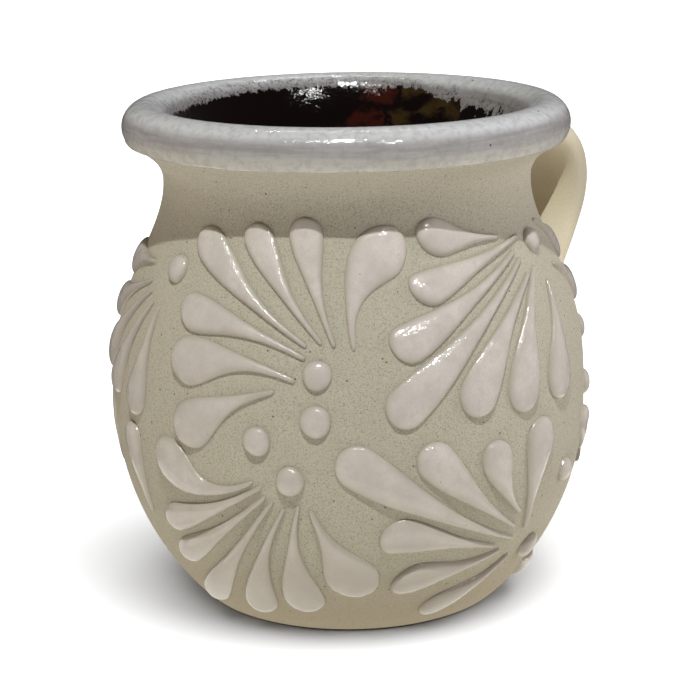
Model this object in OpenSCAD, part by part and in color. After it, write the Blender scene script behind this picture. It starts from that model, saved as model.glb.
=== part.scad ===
// Clay mug with a round belly, a glazed lip, a strap handle and fans of raised slip petals.
// Lengths are in millimetres and +Z is up. The origin is on the axis of the pot, under its foot.
// The front faces -Y, and angles round the pot are counted from the front towards +X.
// A place on the wall is an angle round the pot and a run, the length along the wall's
// outline from the edge of the foot.

/* [Pot] */
// Diameter of the foot
foot_diameter = 59; // [50:0.5:66]
// Diameter of the belly at its widest ring
belly_diameter = 94.6; // [86:0.2:106]
// Height of the widest ring above the foot
belly_height = 39; // [34:0.5:46]
// Diameter of the neck at its narrowest ring
neck_diameter = 72.6; // [66:0.2:77]
// Rise from the widest ring to the narrowest ring of the neck
shoulder_rise = 45.5; // [40:0.5:54]
// Thickness of the wall
wall = 4.3; // [3:0.1:5.5]
// Thickness of the floor
floor_thickness = 6; // [4:0.1:8]
// Diameter of the flat of the floor, inside
floor_diameter = 51; // [44:0.5:54]

/* [Lip] */
// Diameter of the clay rim
rim_diameter = 87.4; // [83:0.2:96]
// Rise from the neck to the top of the clay lip
lip_rise = 15.1; // [13:0.1:19]
// Thickness of the rounded lip
lip_thickness = 8.4; // [7:0.1:9.4]

/* [Glaze] */
// Thickness of the pale glaze on the lip
rim_glaze_thickness = 0.4; // [0.2:0.05:0.8]
// Thickness of the dark glaze inside
liner_glaze_thickness = 0.4; // [0.2:0.05:0.8]
// Thickness of the outer edge of the lip's glaze
glaze_edge = 0.12; // [0.05:0.01:0.2]

/* [Handle] */
// Angle round the pot at which the handle stands
handle_angle = 130; // [120:1:134]
// Width of the strap
handle_width = 15; // [12:0.5:17]
// Thickness of the strap
handle_thickness = 7.5; // [6:0.25:8.5]
// Distance of the strap's centre line beyond the widest ring of the belly
handle_standoff = 12.2; // [10:0.2:18]
// Height at which the upper end of the strap's centre line meets the neck
handle_top_height = 88.5; // [84:0.5:90]
// Height at which the lower end of the strap's centre line meets the belly
handle_foot_height = 55; // [48:0.5:58]
// Widening of the strap at its two joints
joint_flare = 4; // [2:0.5:5]

/* [Petals] */
// Height of a petal's round end above the clay
petal_relief = 1.4; // [0.8:0.1:2]
// Height of a petal's fine tip above the clay
tip_relief = 0.5; // [0.3:0.05:0.8]
// Width of a petal's fine tip
tip_width = 0.9; // [0.6:0.1:1.8]
// Height of a dot above the clay
dot_relief = 1.5; // [0.8:0.1:2]

/* [Hidden] */

// Smoothness of the turned surfaces
$fn = 128;
// Gap between the clay and what sits on its curve
seat_gap = 0.1;
// Length of wall over which its slope is measured
slope_span = 1.2;

// Shape of the outline: how full the belly is below, how late the shoulder falls in,
// and how closely the points crowd at the foot
lower_fullness_share = 0.86;
shoulder_fall_share = 1.55;
foot_crowding_share = 1.5;
// Points along each stretch of the outline
lower_steps = 20;
shoulder_steps = 20;
flare_steps = 8;
lip_steps = 14;
// Angles on the lip's round at which the outer and the inner flare run into it
outer_lip_angle = -60;
inner_lip_angle = 150;
// Step of the outer flare at which the pale glaze starts, and steps of the inner flare down
// from the lip at which the dark glaze takes over
glaze_start_step = 8;
glaze_meeting_step = 1;

foot_r = foot_diameter / 2;
belly_r = belly_diameter / 2;
neck_r = neck_diameter / 2;
neck_z = belly_height + shoulder_rise;
lip_r = lip_thickness / 2;
lip_centre_r = rim_diameter / 2 - lip_r;
lip_centre_z = neck_z + lip_rise - lip_r;

clay_colour = [0.66, 0.64, 0.57];
handle_colour = [0.72, 0.68, 0.55];
slip_colour = [0.84, 0.81, 0.76];
pale_glaze_colour = [0.80, 0.80, 0.78];
dark_glaze_colour = [0.16, 0.09, 0.07];

// Outline of the pot

// Wall from the foot or the floor, over the widest ring, up to the neck
function wall_curve(start_r, start_z, widest_r, top_r) = concat(
    [for (i = [0:lower_steps])
        let (rise = pow(i / lower_steps, foot_crowding_share))
        [start_r + (widest_r - start_r) * pow(1 - pow(1 - rise, 2), lower_fullness_share),
         start_z + (belly_height - start_z) * rise]],
    [for (i = [1:shoulder_steps])
        let (rise = i / shoulder_steps)
        [widest_r - (widest_r - top_r) * (1 - cos(180 * pow(rise, shoulder_fall_share))) / 2,
         belly_height + shoulder_rise * rise]]);

// A point on the round of the lip
function lip_point(angle) = [lip_centre_r + lip_r * cos(angle), lip_centre_z + lip_r * sin(angle)];

// Flare from the neck that runs smoothly into the lip's round at the given angle
function flare(start_r, angle) =
    let (end = lip_point(angle),
         slope = abs(cos(angle) / sin(angle)),
         power = (end[1] - neck_z) / (slope * (end[0] - start_r)))
    [for (i = [1:flare_steps])
        let (rise = i / flare_steps)
        [start_r + (end[0] - start_r) * pow(rise, power), neck_z + (end[1] - neck_z) * rise]];

function backwards(list) = [for (i = [len(list) - 1:-1:0]) list[i]];
function without_last(list) = [for (i = [0:len(list) - 2]) list[i]];

outer_wall = wall_curve(foot_r, 0, belly_r, neck_r);
inner_wall = wall_curve(floor_diameter / 2, floor_thickness, belly_r - wall, neck_r - wall);
outer_line = concat(outer_wall, flare(neck_r, outer_lip_angle));
lip_line = [for (i = [1:lip_steps])
    lip_point(outer_lip_angle + (inner_lip_angle - outer_lip_angle) * i / lip_steps)];
inner_line = concat(
    backwards(without_last(flare(neck_r - wall, inner_lip_angle))),
    backwards(inner_wall),
    [[0, floor_thickness]]);
surface_line = concat(outer_line, lip_line, inner_line);

// Runs along the outer wall and what lies there

outer_runs = [for (i = 0, run = 0; i < len(outer_line);
    run = run + (i + 1 < len(outer_line) ? norm(outer_line[i + 1] - outer_line[i]) : 0), i = i + 1) run];
radius_table = [for (i = [0:len(outer_line) - 1]) [outer_runs[i], outer_line[i][0]]];
height_table = [for (i = [0:len(outer_line) - 1]) [outer_runs[i], outer_line[i][1]]];
radius_by_height = [for (point = outer_line) [point[1], point[0]]];
neck_run = outer_runs[len(outer_wall) - 1];

function wall_point(run) = [lookup(run, radius_table), lookup(run, height_table)];
function wall_normal(run) =
    let (step = wall_point(run + slope_span) - wall_point(run - slope_span))
    [step[1], -step[0]] / norm(step);

// A point at a height above the clay, at an angle round the pot and a run
function over_wall(angle, run, lift) =
    let (flat = wall_point(run) + wall_normal(run) * lift)
    [flat[0] * sin(angle), -flat[0] * cos(angle), flat[1]];

// Pot

module pot_body() {
    color(clay_colour)
        rotate_extrude()
            polygon(concat(surface_line, [[0, 0]]));
}

// Normal of the surface line at one of its points, on the open side
function open_normal(i) =
    let (step = surface_line[min(i + 1, len(surface_line) - 1)] - surface_line[i - 1])
    [step[1], -step[0]] / norm(step);

// A coat of glaze on the surface line between two of its points
module coat(first, last, thickness, first_thickness) {
    rotate_extrude()
        polygon(concat(
            [for (i = [first:last]) surface_line[i]],
            [for (i = [last:-1:first])
                surface_line[i] + open_normal(i) * (i == first ? first_thickness : thickness)]));
}

rim_glaze_first = len(outer_wall) + glaze_start_step - 1;
glaze_meeting = len(outer_line) + lip_steps + glaze_meeting_step - 1;

module rim_glaze() {
    color(pale_glaze_colour)
        coat(rim_glaze_first, glaze_meeting, rim_glaze_thickness, glaze_edge);
}

module liner_glaze() {
    color(dark_glaze_colour)
        coat(glaze_meeting, len(surface_line) - 1, liner_glaze_thickness, liner_glaze_thickness);
}

// Handle

// Sides of the strap's oval section, and sections along it
handle_sides = 16;
handle_steps = 22;
// How deep the ends of the centre line lie in the wall, and how full the oval is
joint_depth_share = 0.5;
oval_share = 0.8;
// Rise of the strap's upper bend over its upper joint, as a share of the handle's height
upper_bend_share = 0.2;
// Rise of the lower bend over the lower joint, as a share of the handle's height
lower_bend_share = 0.5;
// How far along the strap the flare of a joint reaches
flare_reach_share = 0.3;

handle_rise = handle_top_height - handle_foot_height;
handle_top_r = lookup(handle_top_height, radius_by_height) - wall * joint_depth_share;
handle_foot_r = lookup(handle_foot_height, radius_by_height) - wall * joint_depth_share;
// The middle of a cubic curve takes 3/4 of its control points and 1/4 of its ends
bend_r = (belly_r + handle_standoff - (handle_top_r + handle_foot_r) / 8) * 4 / 3;
bend_lean = handle_thickness / 4;
handle_controls = [
    [handle_top_r, handle_top_height],
    [bend_r - bend_lean, handle_top_height + handle_rise * upper_bend_share],
    [bend_r + bend_lean, handle_foot_height + handle_rise * lower_bend_share],
    [handle_foot_r, handle_foot_height]];

function cubic(p, t) = p[0] * pow(1 - t, 3) + p[1] * 3 * t * pow(1 - t, 2)
    + p[2] * 3 * t * t * (1 - t) + p[3] * pow(t, 3);
function cubic_direction(p, t) =
    let (step = (p[1] - p[0]) * pow(1 - t, 2) + (p[2] - p[1]) * 2 * t * (1 - t) + (p[3] - p[2]) * t * t)
    step / norm(step);
// Rounded power of a sine or cosine, which fills the oval towards its corners
function filled(value) = sign(value) * pow(abs(value), oval_share);
function joint_swell(t) = joint_flare * pow(max(0, 1 - min(t, 1 - t) / flare_reach_share), 2);

// One oval section of the strap: out is away from the finger gap, side is across the strap
function handle_section(t) =
    let (centre = cubic(handle_controls, t),
         way = cubic_direction(handle_controls, t),
         out = [-way[1], way[0]],
         half_width = handle_width / 2 + joint_swell(t),
         half_thickness = handle_thickness / 2 + joint_swell(t) / 2)
    [for (i = [0:handle_sides - 1])
        let (turn = 360 * i / handle_sides,
             flat = centre + out * half_thickness * filled(cos(turn)))
        [half_width * filled(sin(turn)), -flat[0], flat[1]]];

// Closed skin over rings of points, one ring after another, with flat ends
module tube(rings) {
    count = len(rings[0]);
    last = (len(rings) - 1) * count;
    polyhedron(
        points = [for (ring = rings) for (point = ring) point],
        faces = concat(
            [[for (i = [0:count - 1]) i]],
            [[for (i = [count - 1:-1:0]) last + i]],
            [for (r = [0:len(rings) - 2]) for (i = [0:count - 1])
                let (a = r * count + i, b = r * count + (i + 1) % count)
                each [[a, a + count, b], [b, a + count, b + count]]]),
        convexity = 4);
}

// The turned shape that the strap is fitted to: the wall with the seat gap round it
module strap_seat() {
    rotate_extrude()
        polygon(concat(
            [[0, 0]],
            [for (i = [0:rim_glaze_first]) surface_line[i] + [seat_gap, 0]],
            [for (i = [rim_glaze_first + 1:glaze_meeting])
                surface_line[i] + open_normal(i) * (rim_glaze_thickness + seat_gap)],
            [[0, lip_centre_z]]));
}

module handle() {
    color(handle_colour)
        difference() {
            rotate([0, 0, handle_angle])
                tube([for (i = [0:handle_steps]) handle_section(i / handle_steps)]);
            strap_seat();
        }
}

// Petals

// Reach of a fan along the wall and across it, from its middle, and the width of a full petal
fan_along_share = 0.437;
fan_across_share = 0.846;
petal_width_share = 0.225;
fan_along = neck_run * fan_along_share;
fan_across = belly_r * fan_across_share;
petal_width = fan_across * petal_width_share;

// Sections along a petal, crowded at its round end, and one more close to its tip
petal_steps = 10;
tip_station_share = 0.035;
tip_station_width_share = 0.9;
// Middle of a petal: how much of its swelling is even, and how late the rest comes
even_swell_share = 0.24;
late_swell_share = 1.7;
// Height across a petal, from its edge over a shoulder to the crest
shoulder_place_share = 0.74;
shoulder_height_share = 0.78;
// How squarely the round end drops off
end_drop_share = 6;

// A place in a fan from a direction, counted from the right and turning up, and a share of reach
function in_fan(direction, share) =
    [fan_across * share * cos(direction), fan_along * share * sin(direction)];

function bend(p, t) = p[0] * pow(1 - t, 2) + p[1] * 2 * t * (1 - t) + p[2] * t * t;
function bend_direction(p, t) =
    let (step = (p[1] - p[0]) * (1 - t) + (p[2] - p[1]) * t)
    step / norm(step);
function swelling(share) =
    even_swell_share * share
    + (1 - even_swell_share) * (1 - cos(180 * pow(share, late_swell_share))) / 2;

// One petal. The row holds the direction and share of the tip, the direction and share of the
// round end, the share of the full width, and the sideways bend as a share of the length.
module petal(row, angle, run) {
    tip = in_fan(row[0], row[1]);
    end = in_fan(row[2], row[3]);
    length = norm(end - tip);
    aside = [tip[1] - end[1], end[0] - tip[0]];
    spine = [tip, (tip + end) / 2 + aside * 2 * row[5], end];
    half = petal_width * row[4] / 2;
    round_start = 1 - half / length;
    stations = concat([tip_station_share],
        [for (i = [1:petal_steps - 1]) sin(90 * i / petal_steps)]);

    function beyond(s) = max(0, (s - round_start) / (1 - round_start));
    function half_width(s) = s < round_start
        ? (s > tip_station_share ? 1 : tip_station_width_share)
            * (tip_width / 2 + (half - tip_width / 2) * swelling(s / round_start))
        : half * sqrt(1 - pow(beyond(s), 2));
    function relief(s) =
        (tip_relief + (petal_relief - tip_relief) * sin(90 * s))
        * sqrt(1 - pow(beyond(s), end_drop_share));
    function place(s, across, lift) =
        let (way = bend_direction(spine, s),
             flat = bend(spine, s) + [-way[1], way[0]] * half_width(s) * across,
             here = run + flat[1],
             round_angle = flat[0] / lookup(here, radius_table) * 180 / PI)
        over_wall(angle + round_angle, here, seat_gap + lift);
    function section(s) = [
        place(s, -1, 0),
        place(s, -shoulder_place_share, relief(s) * shoulder_height_share),
        place(s, 0, relief(s)),
        place(s, shoulder_place_share, relief(s) * shoulder_height_share),
        place(s, 1, 0),
        place(s, 0, 0)];

    rings = [for (s = stations) section(s)];
    count = len(rings[0]);
    first_ring = 1;
    last_ring = first_ring + (len(rings) - 1) * count;
    end_point = last_ring + count;
    polyhedron(
        points = concat([place(0, 0, 0)], [for (ring = rings) for (point = ring) point], [place(1, 0, 0)]),
        faces = concat(
            [for (i = [0:count - 1]) [0, first_ring + i, first_ring + (i + 1) % count]],
            [for (r = [0:len(rings) - 2]) for (i = [0:count - 1])
                let (a = first_ring + r * count + i, b = first_ring + r * count + (i + 1) % count)
                each [[a, a + count, b], [b, a + count, b + count]]],
            [for (i = [0:count - 1]) [last_ring + i, end_point, last_ring + (i + 1) % count]]),
        convexity = 4);
}

module fan(rows, place) {
    color(slip_colour)
        for (row = rows)
            petal(row, place[0], neck_run * place[1]);
}

// Places of the fans' middles: angle round the pot, and run as a share of the run to the neck
front_upper_share = [-7.3, 0.667];
front_lower_share = [-13.7, 0.448];
right_upper_share = [65.8, 0.881];
right_lower_share = [57, 0.212];
left_upper_share = [-53.4, 0.849];
left_lower_share = [-60, 0.262];
back_left_upper_share = [233, 0.667];
back_left_lower_share = [226, 0.448];
back_upper_share = [166, 0.61];
back_lower_share = [166, 0.51];
under_handle_share = [123.5, 0.44];

front_upper_shares = [
    [-158, 0.215, -154, 0.82, 1.04, -0.06],
    [-163, 0.105, -178, 0.77, 1.04, -0.1],
    [127, 0.09, 162, 0.77, 0.84, -0.06],
    [111, 0.137, 135.5, 0.89, 0.86, 0.03],
    [82, 0.142, 116, 0.76, 0.7, 0.04],
    [59, 0.15, 96.5, 0.73, 0.72, 0.04],
    [34, 0.2, 60, 0.74, 1.18, 0.17]];

front_lower_shares = [
    [-174, 0.185, 172, 0.75, 0.98, 0.22],
    [-166, 0.14, -156.5, 0.807, 0.72, 0.035],
    [-145, 0.15, -142, 0.873, 0.72, 0.02],
    [-130, 0.135, -124, 1.012, 0.78, -0.01],
    [-104, 0.145, -106, 0.887, 0.8, -0.06],
    [-74, 0.125, -89, 0.797, 0.93, -0.06],
    [-58, 0.165, -65, 0.72, 1.19, -0.02]];

right_upper_shares = [
    [166, 0.31, 169.5, 0.76, 0.84, 0.01],
    [158, 0.155, -171, 0.9, 0.72, -0.015],
    [-178, 0.225, -160, 1.165, 0.77, 0],
    [-166, 0.205, -148.6, 1.37, 0.88, -0.025],
    [-144.5, 0.222, -137.3, 1.063, 0.92, -0.07],
    [-135, 0.15, -121.5, 0.89, 0.98, -0.1],
    [-100, 0.195, -102, 0.776, 1, -0.035],
    [-50, 0.19, -31, 0.72, 0.85, 0],
    [45, 0.13, -14, 0.62, 0.8, 0]];

right_lower_shares = [
    [154, 0.24, 151.3, 1.405, 0.94, 0.03],
    [143, 0.295, 140.8, 1.087, 0.86, 0.04],
    [132, 0.345, 124.7, 0.816, 0.82, 0.1],
    [136, 0.205, 99, 0.725, 0.94, 0.08],
    [165, 0.345, 165, 1.025, 0.86, -0.02],
    [169, 0.29, -177, 0.825, 0.9, 0.01],
    [180, 0.19, -151, 0.62, 0.78, 0.02],
    [41, 0.6, 54, 0.77, 0.8, 0],
    [34, 0.57, 21, 0.86, 0.75, 0],
    [-60, 0.17, -44, 0.42, 0.8, 0]];

left_upper_shares = [
    [-99.5, 0.2, -103.5, 0.763, 0.85, 0.04],
    [-118, 0.21, -125, 0.837, 0.76, 0.02],
    [-136, 0.2, -140, 0.937, 0.8, 0],
    [-152, 0.2, -157, 0.84, 0.78, 0],
    [-178, 0.22, -175, 0.68, 0.82, 0]];

left_lower_shares = [
    [84, 0.1, 99, 0.55, 0.74, -0.06],
    [160, 0.585, 141, 0.98, 0.85, 0],
    [176, 0.86, 164, 1.07, 0.75, 0]];

// Narrow fan of five petals that points straight up or down the wall
narrow_up_shares = [
    [152, 0.22, 135, 0.55, 0.75, 0],
    [120, 0.2, 113, 0.66, 0.8, 0],
    [90, 0.18, 90, 0.7, 0.85, 0],
    [60, 0.2, 67, 0.66, 0.8, 0],
    [28, 0.22, 45, 0.55, 0.75, 0]];
narrow_down_shares = [for (row = narrow_up_shares)
    [-row[0], row[1], -row[2], row[3], row[4], -row[5]]];

// Dots

// Rows of the dots' places: angle round the pot, run as a share of the run to the neck,
// and diameter as a share of a full petal's width
front_dot_shares = [[-7.3, 0.667, 0.62], [-13.7, 0.448, 0.63], [-7.7, 0.574, 0.67], [-21.3, 0.527, 0.62]];
right_dot_shares = [[64.1, 0.886, 0.56], [55.4, 0.212, 0.6], [63.5, 0.38, 0.53], [91, 0.508, 0.6],
    [96, 0.625, 0.62]];
left_dot_shares = [[-52.4, 0.849, 0.62], [-98, 0.24, 0.6]];
back_dot_shares = [[166, 0.61, 0.5], [166, 0.51, 0.5], [233, 0.667, 0.62], [226, 0.448, 0.63],
    [123.5, 0.44, 0.5], [232.3, 0.574, 0.67], [218.7, 0.527, 0.62]];

dot_sides = 10;
// Rings of a dot from its edge to its crest: share of the radius and share of the height
dot_ring_shares = [[1, 0], [0.86, 0.62], [0.5, 0.93]];

module dot(place) {
    radius = petal_width * place[2] / 2;
    run = neck_run * place[1];
    function on_dot(turn, share, lift) =
        let (here = run + radius * share * sin(turn))
        over_wall(place[0] + radius * share * cos(turn) / lookup(here, radius_table) * 180 / PI,
            here, seat_gap + lift);
    rings = [for (ring = dot_ring_shares)
        [for (i = [0:dot_sides - 1]) on_dot(360 * i / dot_sides, ring[0], dot_relief * ring[1])]];
    last_ring = (len(rings) - 1) * dot_sides;
    crest = len(rings) * dot_sides;
    base = crest + 1;
    polyhedron(
        points = concat([for (ring = rings) for (point = ring) point],
            [over_wall(place[0], run, seat_gap + dot_relief), over_wall(place[0], run, seat_gap)]),
        faces = concat(
            [for (i = [0:dot_sides - 1]) [(i + 1) % dot_sides, i, base]],
            [for (r = [0:len(rings) - 2]) for (i = [0:dot_sides - 1])
                let (a = r * dot_sides + i, b = r * dot_sides + (i + 1) % dot_sides)
                each [[a, b, a + dot_sides], [b, b + dot_sides, a + dot_sides]]],
            [for (i = [0:dot_sides - 1]) [last_ring + i, last_ring + (i + 1) % dot_sides, crest]]),
        convexity = 2);
}

module dots(places) {
    color(slip_colour)
        for (place = places)
            dot(place);
}

pot_body();
handle();
rim_glaze();
liner_glaze();
fan(front_upper_shares, front_upper_share);  // front_upper_fan
fan(front_lower_shares, front_lower_share);  // front_lower_fan
fan(right_upper_shares, right_upper_share);  // right_upper_fan
fan(right_lower_shares, right_lower_share);  // right_lower_fan
fan(left_upper_shares, left_upper_share);  // left_upper_fan
fan(left_lower_shares, left_lower_share);  // left_lower_fan
fan(front_upper_shares, back_left_upper_share);  // back_left_upper_fan
fan(front_lower_shares, back_left_lower_share);  // back_left_lower_fan
fan(narrow_up_shares, back_upper_share);  // back_upper_fan
fan(narrow_down_shares, back_lower_share);  // back_lower_fan
fan(narrow_down_shares, under_handle_share);  // under_handle_fan
dots(front_dot_shares);  // front_dots
dots(right_dot_shares);  // right_dots
dots(left_dot_shares);  // left_dots
dots(back_dot_shares);  // back_dots
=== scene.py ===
import math

import bpy
import numpy as np
from mathutils import Matrix, Vector


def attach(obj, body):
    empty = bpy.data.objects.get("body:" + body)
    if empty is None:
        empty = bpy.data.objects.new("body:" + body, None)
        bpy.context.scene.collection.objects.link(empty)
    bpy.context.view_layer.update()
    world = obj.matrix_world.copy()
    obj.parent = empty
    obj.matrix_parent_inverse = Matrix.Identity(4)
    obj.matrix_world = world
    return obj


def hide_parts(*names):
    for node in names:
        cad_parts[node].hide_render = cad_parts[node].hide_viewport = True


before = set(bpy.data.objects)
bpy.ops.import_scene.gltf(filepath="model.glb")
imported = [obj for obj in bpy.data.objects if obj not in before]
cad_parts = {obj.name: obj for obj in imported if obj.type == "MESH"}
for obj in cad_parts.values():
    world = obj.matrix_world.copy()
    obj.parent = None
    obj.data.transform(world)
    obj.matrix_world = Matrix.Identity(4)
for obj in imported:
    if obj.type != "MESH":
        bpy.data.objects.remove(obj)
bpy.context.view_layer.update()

# A clay mug: a turned pot with a glazed lip, a dark inside, a strap handle and trailed slip petals.
# Sizes are in millimetres as on the workshop drawing, and MM turns them into metres.
MM = 0.001

# Pot
FOOT_R = 29.5
BELLY_R = 47.3
BELLY_Z = 39.0
NECK_R = 36.3
NECK_Z = 84.5
WALL = 4.3
FLOOR_R = 25.5
FLOOR_Z = 6.0
LOWER_FULLNESS = 0.86
SHOULDER_FALL = 1.55
FOOT_CROWDING = 1.5
# Softened edge of the foot as radius and height, and the height at which the wall takes over
FOOT_EDGE = [(28.9, 0), (29.35, 0.05), (29.75, 0.25)]
WALL_FROM = 0.45
# Lip
LIP_R = 4.2
LIP_CENTRE_R = 39.5
LIP_CENTRE_Z = 95.4
OUTER_LIP_ANGLE = -60
INNER_LIP_ANGLE = 150
# Points along each stretch of the outline, and steps in one turn of the wheel
LOWER_STEPS = 56
SHOULDER_STEPS = 60
FLARE_STEPS = 16
LIP_STEPS = 32
WHEEL_STEPS = 240
# Glaze coats: thickness, and how far they go into the clay
COAT = 0.4
COAT_BACK = 0.15
# Lower edge of the pale coat: share of the thickness there and its gain per point of the outline,
# the band in which the edge is moved, its rise, and waves as size, count round the pot and start
THIN_EDGE = 0.3
EDGE_GAIN = 0.35
EDGE_BAND = 1.6
EDGE_RISE = 0.55
EDGE_WAVES = ((0.16, 3, 0.7), (0.1, 7, 2.1), (0.07, 16, 0.4), (0.04, 29, 0))
# How far the lip leans out for each millimetre of rise, and what the lowest edge has on top of that
LIP_LEAN = 0.9
LOW_LEAN = 0.8
# Handle
HANDLE_ANGLE = 130
HANDLE_WIDTH = 14.9
HANDLE_THICKNESS = 7.4
HANDLE_TOP_Z = 88.5
HANDLE_FOOT_Z = 55.0
HANDLE_STANDOFF = 12.1
JOINT_FLARE = 4.0
FLARE_REACH = 0.3
UPPER_BEND = 0.2
LOWER_BEND = 0.5
OVAL_FILL = 0.8
# Petals and dots: relief, form of the tip, gap to the clay's curve, and depth of the flat side
PETAL_RELIEF = 1.4
TIP_RELIEF = 0.5
TIP_WIDTH = 0.9
TIP_TAPER = 0.8
TIP_RISE = 0.7
DOT_RELIEF = 1.5
DOT_FILL = 0.97
SEAT = 0.1
SINK = 0.3
# Roundness of the top across a petal or a dot, and how fast each falls off at its edge
CREST_ROUND = 2.2
PETAL_FALL = 0.55
DOT_FALL = 0.5
# Fans: reach along and across the wall, width of a petal, and how it widens and ends
FAN_ALONG_SHARE = 0.437
FAN_ACROSS_SHARE = 0.846
PETAL_WIDTH_SHARE = 0.225
FAN_ACROSS = BELLY_R * FAN_ACROSS_SHARE
PETAL_WIDTH = FAN_ACROSS * PETAL_WIDTH_SHARE
EVEN_SWELL = 0.24
LATE_SWELL = 1.7
END_DROP = 3.5


# Outline of the pot

def wall_curve(start_r, start_z, widest_r, top_r):
    """The wall from the foot or the floor, over the widest ring, up to the neck."""
    points = []
    for i in range(LOWER_STEPS + 1):
        rise = (i / LOWER_STEPS) ** FOOT_CROWDING
        out = (1 - (1 - rise) ** 2) ** LOWER_FULLNESS
        points.append((start_r + (widest_r - start_r) * out, start_z + (BELLY_Z - start_z) * rise))
    for i in range(1, SHOULDER_STEPS + 1):
        rise = i / SHOULDER_STEPS
        fall = (1 - math.cos(math.pi * rise ** SHOULDER_FALL)) / 2
        points.append((widest_r - (widest_r - top_r) * fall, BELLY_Z + (NECK_Z - BELLY_Z) * rise))
    return points


def lip_point(degrees):
    """A point on the round of the lip."""
    turn = math.radians(degrees)
    return (LIP_CENTRE_R + LIP_R * math.cos(turn), LIP_CENTRE_Z + LIP_R * math.sin(turn))


def flare(start_r, degrees):
    """The flare that leaves the neck upright and runs into the lip's round."""
    end_r, end_z = lip_point(degrees)
    slope = abs(1 / math.tan(math.radians(degrees)))
    power = (end_z - NECK_Z) / (slope * (end_r - start_r))
    points = []
    for i in range(1, FLARE_STEPS + 1):
        rise = i / FLARE_STEPS
        points.append((start_r + (end_r - start_r) * rise ** power, NECK_Z + (end_z - NECK_Z) * rise))
    return points


OUTER_WALL = wall_curve(FOOT_R, 0, BELLY_R, NECK_R)
OUTER_LINE = OUTER_WALL + flare(NECK_R, OUTER_LIP_ANGLE)
LIP_LINE = [lip_point(OUTER_LIP_ANGLE + (INNER_LIP_ANGLE - OUTER_LIP_ANGLE) * i / LIP_STEPS)
            for i in range(1, LIP_STEPS + 1)]
INNER_LINE = (flare(NECK_R - WALL, INNER_LIP_ANGLE)[-2::-1]
              + wall_curve(FLOOR_R, FLOOR_Z, BELLY_R - WALL, NECK_R - WALL)[::-1])
FLOOR_LINE = [(FLOOR_R / 2, FLOOR_Z), (0, FLOOR_Z)]

# Runs along the outer wall from the edge of the foot, and the radius and height there
WALL_R, WALL_Z = (np.array(column) for column in zip(*OUTER_LINE))
WALL_RUN = np.concatenate([[0], np.cumsum(np.hypot(np.diff(WALL_R), np.diff(WALL_Z)))])
NECK_RUN = WALL_RUN[len(OUTER_WALL) - 1]
FAN_ALONG = NECK_RUN * FAN_ALONG_SHARE
# Run to either side of a place over which the slope of the wall is taken
SLOPE_SPAN = 1.2


def over_wall(degrees, run, lift):
    """Points in metres at a height over the clay, at an angle round the pot and a run."""
    ahead, behind = run + SLOPE_SPAN, run - SLOPE_SPAN
    step_r = np.interp(ahead, WALL_RUN, WALL_R) - np.interp(behind, WALL_RUN, WALL_R)
    step_z = np.interp(ahead, WALL_RUN, WALL_Z) - np.interp(behind, WALL_RUN, WALL_Z)
    length = np.hypot(step_r, step_z)
    radius = np.interp(run, WALL_RUN, WALL_R) + lift * step_z / length
    height = np.interp(run, WALL_RUN, WALL_Z) - lift * step_r / length
    turn = np.radians(degrees)
    return np.stack([radius * np.sin(turn), -radius * np.cos(turn), height], axis=-1) * MM


# Workshop steps

# Corners nearer than this are merged, on turned pieces and on petals, and shorter edges dissolved
WHEEL_MERGE = 0.002
PETAL_MERGE = 0.003
SLIVER = 0.002
# Edges that bend less than this many degrees are shaded round, on turned pieces and on the others
TURNED_BEND = 40
OTHER_BEND = 60


def deselect():
    """Puts every piece down, so that a step acts only on the piece in hand."""
    if bpy.context.mode != "OBJECT":
        bpy.ops.object.mode_set(mode="OBJECT")
    bpy.ops.object.select_all(action="DESELECT")


def take_up(piece):
    """Makes one piece the one in hand."""
    deselect()
    piece.select_set(True)
    bpy.context.view_layer.objects.active = piece


def edit(piece):
    """Opens a piece for work on its corners, with nothing selected."""
    take_up(piece)
    bpy.ops.object.mode_set(mode="EDIT")
    bpy.ops.mesh.select_mode(type="VERT")
    bpy.ops.mesh.select_all(action="DESELECT")


def fix_in_place(piece):
    """Leaves the object at the origin with its place in its mesh."""
    take_up(piece)
    bpy.ops.object.transform_apply(location=True, rotation=True, scale=True)


def finish_piece(piece, name, finish, node, smooth_degrees=TURNED_BEND):
    """Names a finished piece, gives it its finish and seats it in the frame."""
    fix_in_place(piece)
    bpy.ops.object.shade_smooth_by_angle(angle=math.radians(smooth_degrees))
    piece.name = name
    piece.data.name = name
    piece.data.materials.clear()
    piece.data.materials.append(finish)
    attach(piece, "root")
    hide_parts(node)
    return piece


def turned(outline, closed=False):
    """A piece turned on the wheel from an outline of radius and height."""
    deselect()
    start_r, start_z = outline[0]
    bpy.ops.mesh.primitive_plane_add(size=MM, location=(start_r * MM, 0, start_z * MM))
    piece = bpy.context.object
    fix_in_place(piece)
    bpy.ops.object.mode_set(mode="EDIT")
    bpy.ops.mesh.select_all(action="SELECT")
    bpy.ops.mesh.merge(type="CENTER")
    line = list(outline) + ([outline[0]] if closed else [])
    for (here_r, here_z), (next_r, next_z) in zip(line, line[1:]):
        step = ((next_r - here_r) * MM, 0, (next_z - here_z) * MM)
        bpy.ops.mesh.extrude_vertices_move(TRANSFORM_OT_translate={"value": step})
    bpy.ops.mesh.select_all(action="SELECT")
    bpy.ops.mesh.spin(steps=WHEEL_STEPS, angle=math.tau, center=(0, 0, 0), axis=(0, 0, 1))
    bpy.ops.mesh.select_all(action="SELECT")
    bpy.ops.mesh.remove_doubles(threshold=WHEEL_MERGE * MM)
    bpy.ops.mesh.normals_make_consistent(inside=False)
    bpy.ops.object.mode_set(mode="OBJECT")
    return piece


# Pot

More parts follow.
